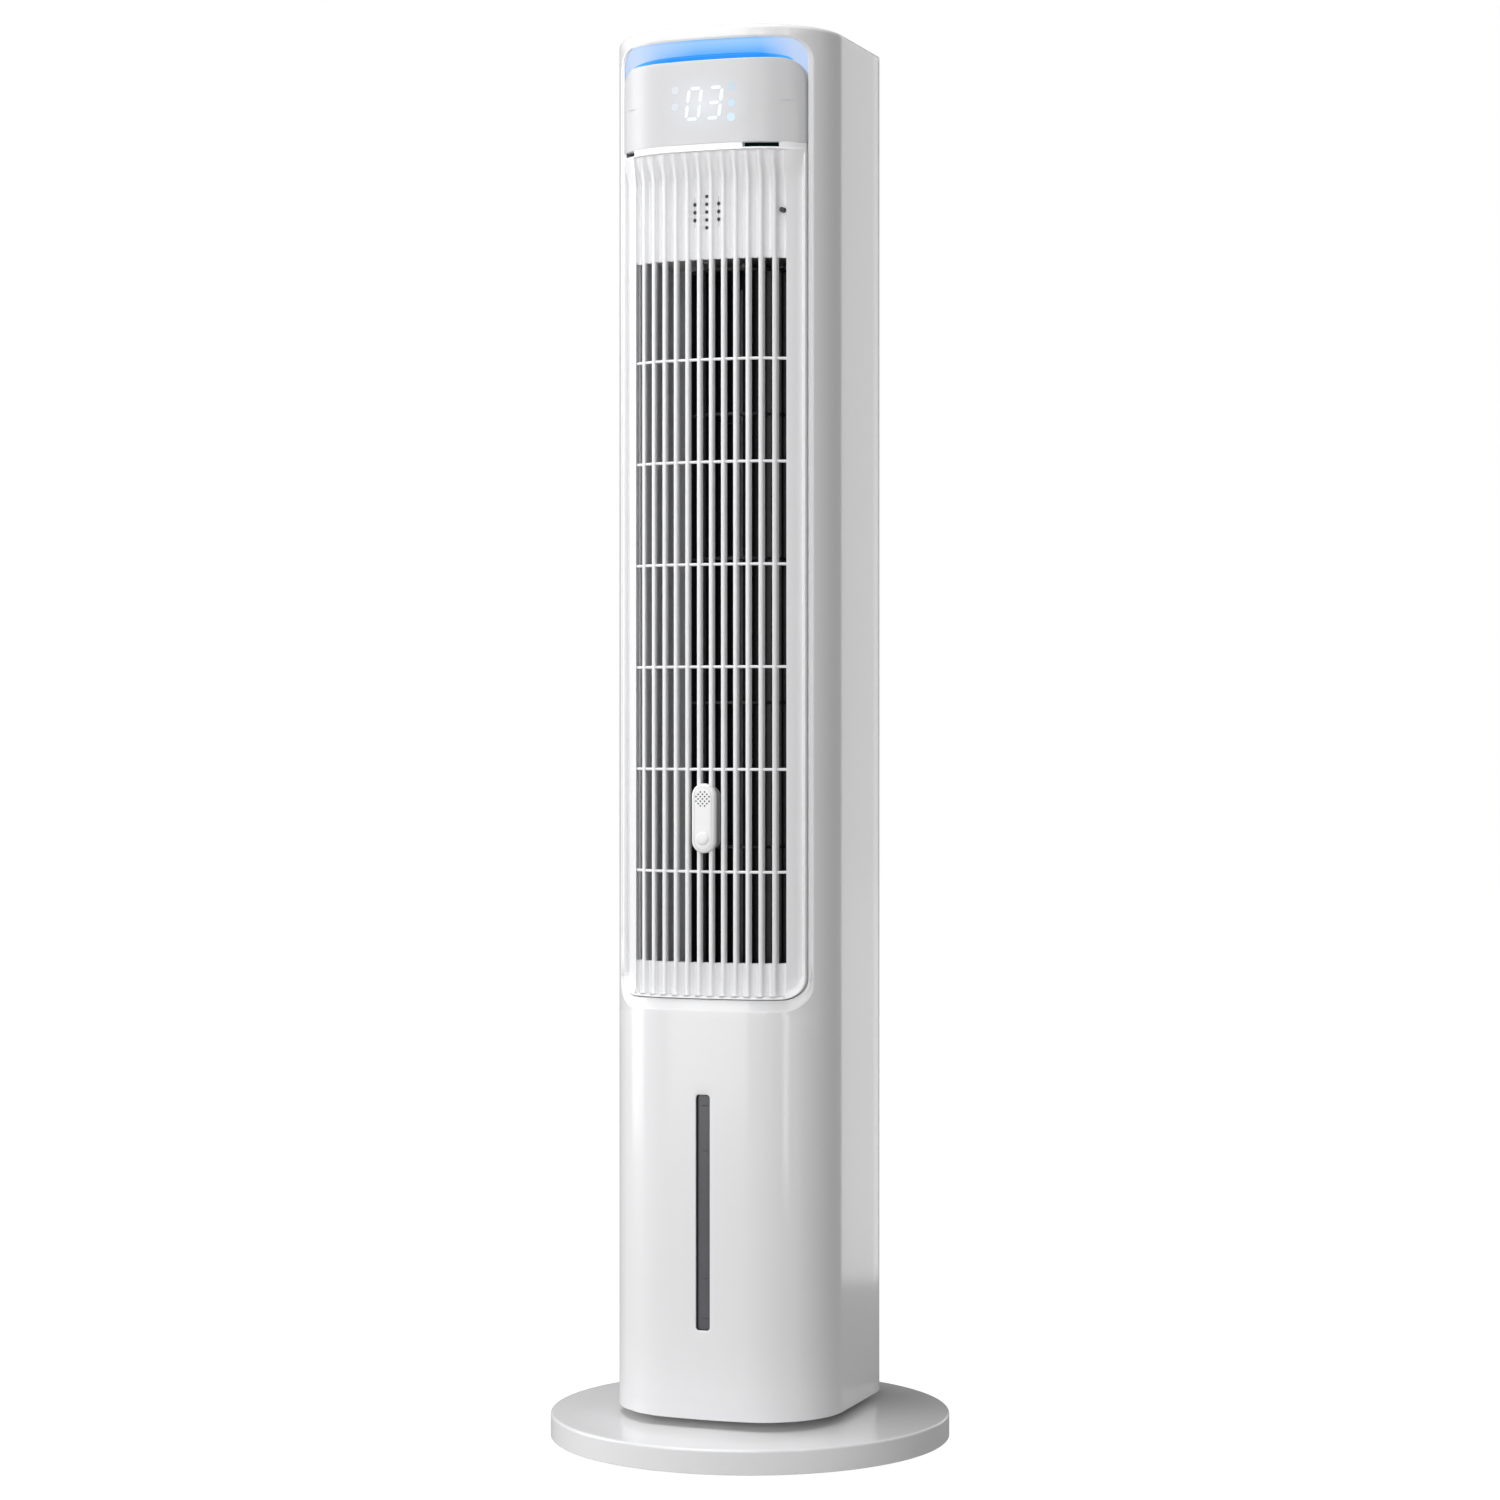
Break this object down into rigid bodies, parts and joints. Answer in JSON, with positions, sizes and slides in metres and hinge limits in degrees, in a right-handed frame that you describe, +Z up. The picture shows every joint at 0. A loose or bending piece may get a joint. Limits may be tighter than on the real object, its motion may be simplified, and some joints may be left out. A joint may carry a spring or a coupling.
{
  "type": "tower fan",
  "caption": "Tall white tower fan with a slatted front grille, glowing display head, water window and a round foot on which the tower swings.",
  "frame": {"origin": "centre of the round foot on the floor", "axes": "+Z up, the grille faces -Y, +X to the right seen from the front"},
  "size_m": [0.31, 0.31, 1.078],
  "materials": {
    "shell_white": "cool white moulded plastic, soft gloss",
    "grille_white": "white moulded plastic, soft gloss",
    "capsule_white": "bright white moulded plastic",
    "display_grey": "pale silver-grey translucent cover",
    "glow_blue": "blue light guide",
    "glow_white": "pale blue lit recess",
    "window_smoke": "smoked clear lens",
    "tank_clear": "clear moulded plastic",
    "fan_black": "black moulded plastic",
    "duct_grey": "light grey moulded plastic",
    "inner_white": "plain white moulded plastic",
    "board_green": "lacquered circuit board",
    "steel": "zinc-plated steel",
    "iron_grey": "painted cast iron",
    "foot_rubber": "dark rubber",
    "hose_rubber": "milky soft tube",
    "pad_paper": "brown corrugated paper pad",
    "mesh_grey": "grey dust mesh",
    "felt_cream": "cream felt",
    "gear_ivory": "natural acetal",
    "motor_metal": "bare metal can"
  },
  "bodies": {
    "base": {"rubber_feet": "foot_rubber", "base_plate": "steel", "base_weight": "iron_grey", "base_cover": "shell_white", "base_screws": "steel", "pivot_post": "inner_white", "lower_race": "inner_white", "fixed_gear": "gear_ivory", "post_clip": "steel"},
    "ball_ring": {"bearing_balls": "steel", "ball_cage": "gear_ivory"},
    "pinion": {"swing_pinion": "gear_ivory"},
    "tower": {"tower_floor": "inner_white", "swing_motor": "motor_metal", "tank_shelf": "inner_white", "duct_floor": "inner_white", "motor_deck": "inner_white", "front_casing": "shell_white", "rear_casing": "shell_white", "casing_screws": "steel", "top_panel": "shell_white", "key_board": "board_green", "control_board": "board_green", "display_panel": "display_grey", "display_board": "board_green", "light_strip": "glow_blue", "light_reflector": "glow_white", "front_grille": "grille_white", "speaker": "fan_black", "remote_receiver": "fan_black", "water_window": "window_smoke", "bearing_holder": "inner_white", "lower_bearing": "steel", "fan_motor": "motor_metal", "motor_screws": "steel", "duct_left": "duct_grey", "duct_right": "fan_black", "cooling_pad": "pad_paper", "pad_frame": "inner_white", "water_tray": "inner_white", "water_hose": "hose_rubber", "power_inlet": "fan_black", "handle_cup": "shell_white"},
    "fan_rotor": {"impeller": "fan_black", "impeller_shaft": "steel"},
    "key_power": {"power_key": "shell_white"},
    "key_speed": {"speed_key": "shell_white"},
    "key_mode": {"mode_key": "shell_white"},
    "key_timer": {"timer_key": "shell_white"},
    "key_swing": {"swing_key": "shell_white"},
    "tank": {"water_tank": "tank_clear", "tank_door": "shell_white", "water_pump": "fan_black", "riser_tube": "hose_rubber"},
    "drain": {"drain_plug": "shell_white"},
    "filter": {"filter_frame": "shell_white", "filter_mesh": "mesh_grey"},
    "capsule": {"capsule_cover": "capsule_white", "capsule_tray": "inner_white", "scent_pad": "felt_cream"}
  },
  "joints": [
    {"name": "tower_swing", "type": "hinge", "parent": "base", "child": "tower", "pos_m": [0, 0, 0.034], "axis": [0, 0, 1], "range_deg": [-40, 40]},
    {"name": "ball_ring_turn", "type": "hinge", "parent": "base", "child": "ball_ring", "pos_m": [0, 0, 0.033], "axis": [0, 0, 1], "range_deg": [-20, 20]},
    {"name": "pinion_spin", "type": "hinge", "parent": "tower", "child": "pinion", "pos_m": [0, 0.036, 0.053], "axis": [0, 0, 1], "range_deg": [-120, 120]},
    {"name": "fan_spin", "type": "hinge", "parent": "tower", "child": "fan_rotor", "pos_m": [0.006, -0.028, 0.6], "axis": [0, 0, 1], "continuous": true},
    {"name": "tank_slide", "type": "slide", "parent": "tower", "child": "tank", "axis": [0, 1, 0], "range_m": [0, 0.16]},
    {"name": "drain_pull", "type": "slide", "parent": "tank", "child": "drain", "axis": [0, 1, 0], "range_m": [0, 0.012]},
    {"name": "filter_tilt", "type": "hinge", "parent": "tower", "child": "filter", "pos_m": [0, 0.0893, 0.3549], "axis": [-1, 0, 0], "range_deg": [0, 35]},
    {"name": "capsule_pull", "type": "slide", "parent": "tower", "child": "capsule", "axis": [0, -1, 0], "range_m": [0, 0.022]},
    {"name": "power_press", "type": "slide", "parent": "tower", "child": "key_power", "axis": [0, 0, -1], "range_m": [0, 0.001], "stiffness_N_per_m": 600},
    {"name": "speed_press", "type": "slide", "parent": "tower", "child": "key_speed", "axis": [0, 0, -1], "range_m": [0, 0.001], "stiffness_N_per_m": 600},
    {"name": "mode_press", "type": "slide", "parent": "tower", "child": "key_mode", "axis": [0, 0, -1], "range_m": [0, 0.001], "stiffness_N_per_m": 600},
    {"name": "timer_press", "type": "slide", "parent": "tower", "child": "key_timer", "axis": [0, 0, -1], "range_m": [0, 0.001], "stiffness_N_per_m": 600},
    {"name": "swing_press", "type": "slide", "parent": "tower", "child": "key_swing", "axis": [0, 0, -1], "range_m": [0, 0.001], "stiffness_N_per_m": 600}
  ],
  "couplings": [
    {"joint": "ball_ring_turn", "follows": "tower_swing", "ratio": 0.5},
    {"joint": "pinion_spin", "follows": "tower_swing", "ratio": 3}
  ]
}
